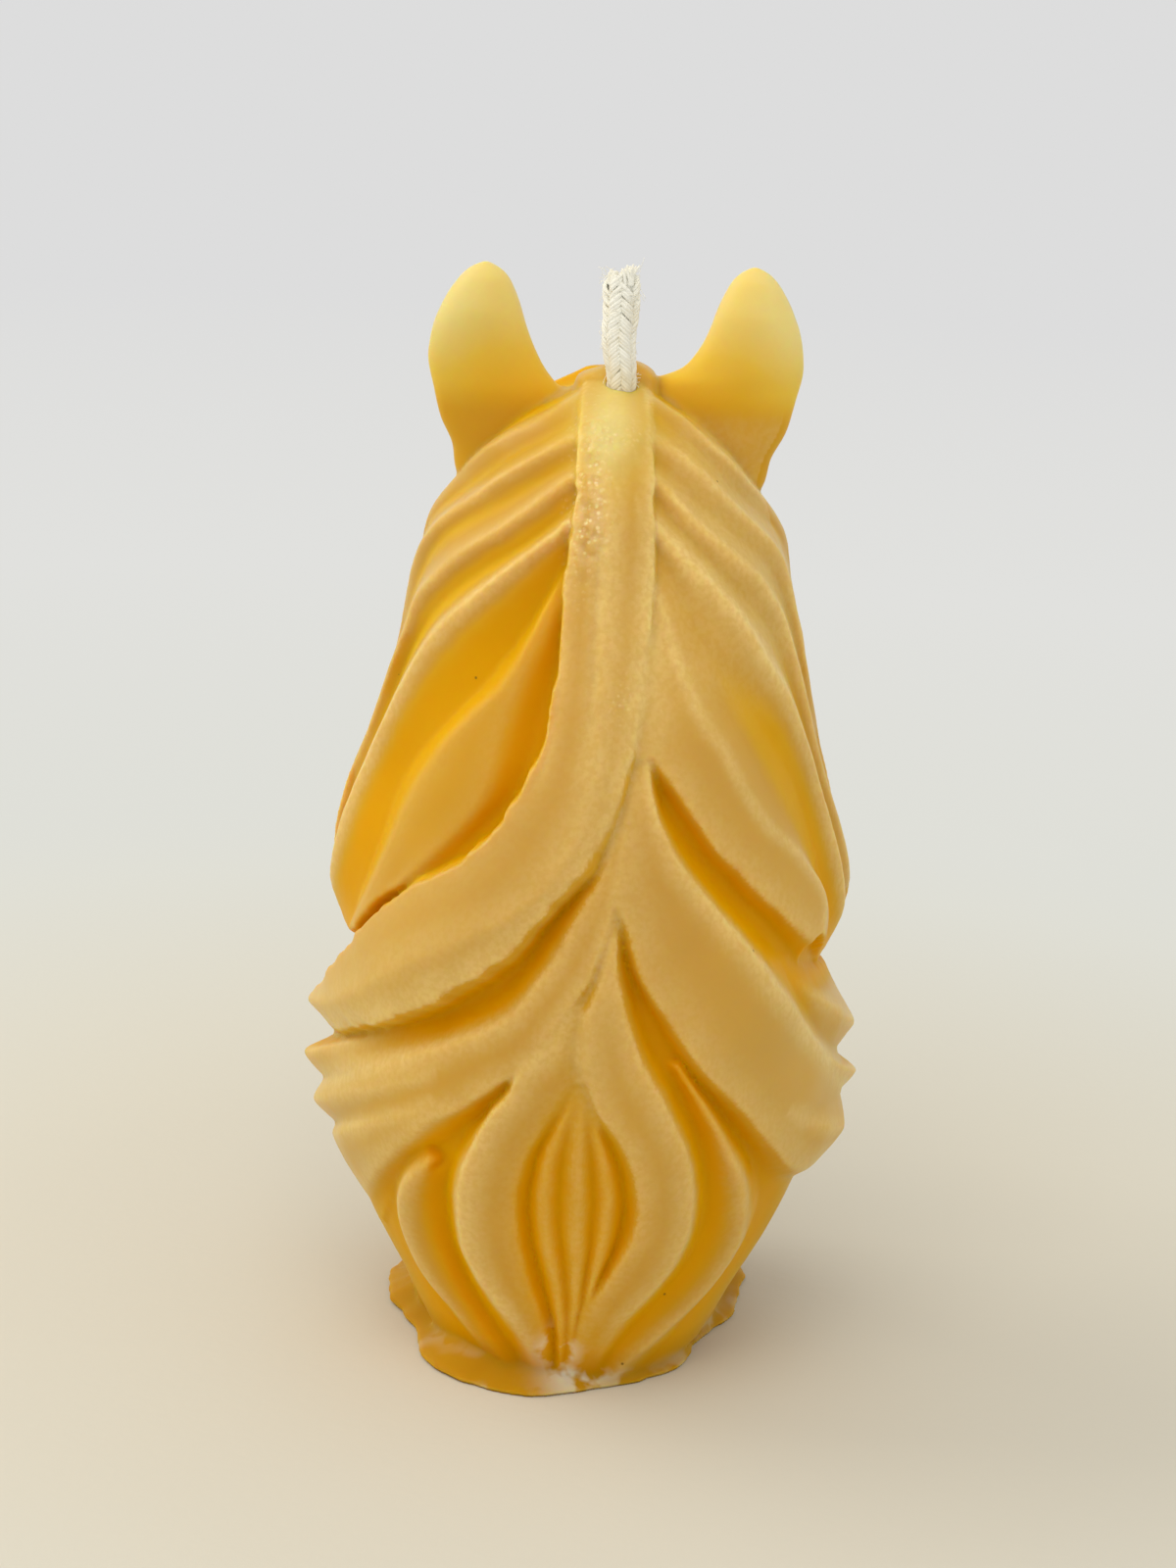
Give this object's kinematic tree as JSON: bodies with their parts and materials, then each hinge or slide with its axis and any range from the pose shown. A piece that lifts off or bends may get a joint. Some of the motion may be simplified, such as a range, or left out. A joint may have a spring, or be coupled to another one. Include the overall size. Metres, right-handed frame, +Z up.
{
  "type": "horse head candle",
  "caption": "Cast wax candle in the form of a horse's head and neck, with a deeply cut mane parted by a sweeping band, upright ears, a spread foot and a plaited cotton wick.",
  "frame": {"origin": "middle of the flat underside, on the surface that the candle stands on", "axes": "+Z up, -Y the way the horse looks, +Y the crest of the mane, +X the horse's left side"},
  "size_m": [0.0442, 0.0577, 0.0894],
  "materials": {
    "wax": "cast beeswax, golden yellow, satin, with a pale bloom on the raised edges",
    "cotton": "plaited white cotton"
  },
  "bodies": {
    "root": {"wax_body": "wax", "wick": "cotton"}
  },
  "joints": []
}
